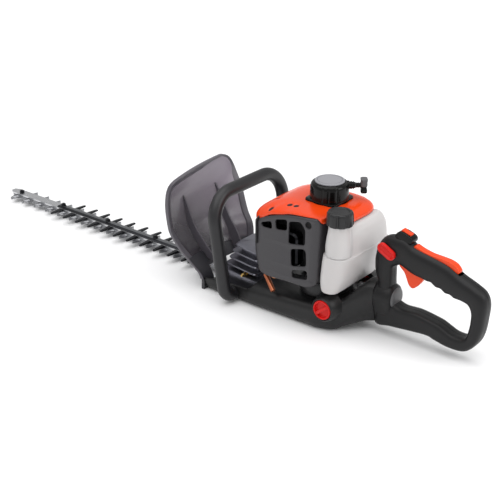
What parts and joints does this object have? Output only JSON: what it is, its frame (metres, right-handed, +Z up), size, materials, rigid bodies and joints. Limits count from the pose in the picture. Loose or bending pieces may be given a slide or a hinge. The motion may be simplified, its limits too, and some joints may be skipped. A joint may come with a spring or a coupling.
{
  "type": "petrol hedge trimmer",
  "caption": "Hand-held petrol hedge trimmer: double-sided reciprocating cutter, small engine, bail front handle, hand guard and swivelling rear D-handle.",
  "frame": {"origin": "on the flat underside of the base frame, directly under the upright crankshaft", "axes": "+X along the cutter to its tip, +Y the operator's left, +Z up"},
  "size_m": [1.1005, 0.2068, 0.239],
  "materials": {
    "black_plastic": "moulded, fine grain",
    "grey_plastic": "moulded, fine grain",
    "orange_plastic": "glossy moulded",
    "red_plastic": "satin moulded",
    "smoked_plastic": "smoked, half clear",
    "tank_plastic": "milky, half clear",
    "handle_grip": "soft matt sleeve",
    "rubber": "matt",
    "cast_aluminium": "as cast",
    "blade_steel": "ground edges",
    "black_steel": "black oxide",
    "bright_steel": "machined",
    "brass": "bright",
    "copper": "heat-tinted"
  },
  "bodies": {
    "chassis": {"base_frame": "black_plastic", "gear_case": "cast_aluminium", "gear_case_cover": "cast_aluminium", "grease_nipple": "brass", "tooth_guard": "black_steel", "guide_bar": "blade_steel", "blade_bolt_1": "bright_steel", "blade_bolt_2": "bright_steel", "blade_bolt_3": "bright_steel", "blade_bolt_4": "bright_steel", "clutch_housing": "black_steel", "crankcase_lower": "cast_aluminium", "crankcase_upper": "cast_aluminium", "cylinder": "cast_aluminium", "spark_plug": "bright_steel", "plug_boot": "rubber", "ignition_coil": "black_plastic", "fan_shroud": "black_plastic", "starter_housing": "black_plastic", "starter_lid": "grey_plastic", "muffler": "black_steel", "exhaust_pipe": "copper", "muffler_cover": "grey_plastic", "carburettor": "cast_aluminium", "filter_base": "black_plastic", "filter_cover": "black_plastic", "engine_cover": "orange_plastic", "fuel_tank": "tank_plastic", "front_handle": "handle_grip", "hand_guard": "smoked_plastic", "swivel_bolt": "bright_steel"},
    "upper_blade_set": {"upper_blade": "blade_steel", "upper_blade_yoke": "bright_steel"},
    "lower_blade_set": {"lower_blade": "blade_steel", "lower_blade_yoke": "bright_steel"},
    "cam_gear_set": {"cam_gear": "bright_steel"},
    "drum_set": {"clutch_drum": "black_steel", "drive_pinion": "bright_steel"},
    "crank_set": {"crankshaft_lower": "bright_steel", "crankshaft_upper": "bright_steel", "flywheel": "cast_aluminium"},
    "left_shoe": {"clutch_shoe_left": "black_steel"},
    "right_shoe": {"clutch_shoe_right": "black_steel"},
    "piston_set": {"piston": "cast_aluminium"},
    "rod_set": {"connecting_rod": "bright_steel"},
    "reel_set": {"starter_reel": "grey_plastic"},
    "pull_set": {"pull_handle": "grey_plastic"},
    "gasket_set": {"cap_gasket": "rubber"},
    "cap_set": {"tank_cap": "black_plastic"},
    "choke_set": {"choke_lever": "red_plastic"},
    "primer_set": {"primer_bulb": "rubber"},
    "left_plug_set": {"mount_plug_left": "red_plastic"},
    "right_plug_set": {"mount_plug_right": "red_plastic"},
    "rear_handle": {"handle_left_shell": "black_plastic", "handle_right_shell": "black_plastic", "stop_switch": "black_plastic"},
    "trigger_set": {"throttle_trigger": "orange_plastic"},
    "lockout_set": {"throttle_lockout": "orange_plastic"},
    "rocker_set": {"stop_rocker": "red_plastic"},
    "lock_set": {"swivel_lock": "red_plastic"}
  },
  "joints": [
    {"name": "upper_blade_stroke", "type": "slide", "parent": "chassis", "child": "upper_blade_set", "axis": [1, 0, 0], "range_m": [-0.00875, 0.00875]},
    {"name": "lower_blade_stroke", "type": "slide", "parent": "chassis", "child": "lower_blade_set", "axis": [1, 0, 0], "range_m": [-0.00875, 0.00875]},
    {"name": "cam_gear_spin", "type": "hinge", "parent": "chassis", "child": "cam_gear_set", "pos_m": [0.06, 0, 0.028], "axis": [0, 0, 1], "continuous": true},
    {"name": "drum_spin", "type": "hinge", "parent": "chassis", "child": "drum_set", "pos_m": [0, 0, 0.05], "axis": [0, 0, 1], "continuous": true},
    {"name": "crank_spin", "type": "hinge", "parent": "chassis", "child": "crank_set", "pos_m": [0, 0, 0.118], "axis": [0, 0, 1], "continuous": true},
    {"name": "left_shoe_travel", "type": "slide", "parent": "crank_set", "child": "left_shoe", "axis": [0, 1, 0], "range_m": [0, 0.0007], "stiffness_N_per_m": 3000},
    {"name": "right_shoe_travel", "type": "slide", "parent": "crank_set", "child": "right_shoe", "axis": [0, -1, 0], "range_m": [0, 0.0007], "stiffness_N_per_m": 3000},
    {"name": "piston_stroke", "type": "slide", "parent": "chassis", "child": "piston_set", "axis": [1, 0, 0], "range_m": [-0.0119, 0.0161]},
    {"name": "rod_swing", "type": "hinge", "parent": "piston_set", "child": "rod_set", "pos_m": [0.04591, 0, 0.118], "axis": [0, 0, 1], "range_deg": [0, 33.9]},
    {"name": "starter_pull", "type": "slide", "parent": "chassis", "child": "pull_set", "axis": [-0.7771, -0.6293, 0], "range_m": [0, 0.7], "stiffness_N_per_m": 20},
    {"name": "reel_spin", "type": "hinge", "parent": "chassis", "child": "reel_set", "pos_m": [0, 0, 0.225], "axis": [0, 0, 1], "range_deg": [0, 2006]},
    {"name": "cap_lift", "type": "slide", "parent": "chassis", "child": "gasket_set", "axis": [0, 0, 1], "range_m": [0, 0.00601]},
    {"name": "cap_turn", "type": "hinge", "parent": "gasket_set", "child": "cap_set", "pos_m": [-0.063, 0.06, 0.207], "axis": [0, 0, 1], "range_deg": [0, 540]},
    {"name": "choke_turn", "type": "hinge", "parent": "chassis", "child": "choke_set", "pos_m": [0.034, -0.062, 0.152], "axis": [0, 1, 0], "range_deg": [0, 60]},
    {"name": "primer_press", "type": "slide", "parent": "chassis", "child": "primer_set", "axis": [1, 0, 0], "range_m": [0, 0.0035], "stiffness_N_per_m": 800},
    {"name": "left_plug_turn", "type": "hinge", "parent": "chassis", "child": "left_plug_set", "pos_m": [-0.043, 0.07, 0.044], "axis": [0, 1, 0], "range_deg": [0, 90]},
    {"name": "right_plug_turn", "type": "hinge", "parent": "chassis", "child": "right_plug_set", "pos_m": [-0.043, -0.07, 0.044], "axis": [0, -1, 0], "range_deg": [0, 90]},
    {"name": "handle_swivel", "type": "hinge", "parent": "chassis", "child": "rear_handle", "pos_m": [-0.105, 0, 0.067], "axis": [1, 0, 0], "range_deg": [-90, 90]},
    {"name": "trigger_pull", "type": "hinge", "parent": "rear_handle", "child": "trigger_set", "pos_m": [-0.146, 0, 0.137], "axis": [0, 1, 0], "range_deg": [0, 18], "stiffness_Nm_per_rad": 0.4},
    {"name": "lockout_press", "type": "hinge", "parent": "rear_handle", "child": "lockout_set", "pos_m": [-0.172, 0, 0.152], "axis": [0, -1, 0], "range_deg": [0, 5], "stiffness_Nm_per_rad": 0.5},
    {"name": "stop_rock", "type": "hinge", "parent": "rear_handle", "child": "rocker_set", "pos_m": [-0.149, 0, 0.182], "axis": [0, 1, 0], "range_deg": [-8, 8]},
    {"name": "swivel_lock_turn", "type": "hinge", "parent": "rear_handle", "child": "lock_set", "pos_m": [-0.124, 0.018, 0.152], "axis": [0, 1, 0], "range_deg": [0, 20], "stiffness_Nm_per_rad": 0.1}
  ],
  "couplings": [
    {"joint": "lower_blade_stroke", "follows": "upper_blade_stroke", "ratio": -1},
    {"joint": "drum_spin", "follows": "cam_gear_spin", "ratio": -4},
    {"joint": "right_shoe_travel", "follows": "left_shoe_travel", "ratio": 1},
    {"joint": "reel_spin", "follows": "starter_pull", "rad_per_m": 50},
    {"joint": "cap_lift", "follows": "cap_turn", "m_per_rad": 0.00063662}
  ]
}
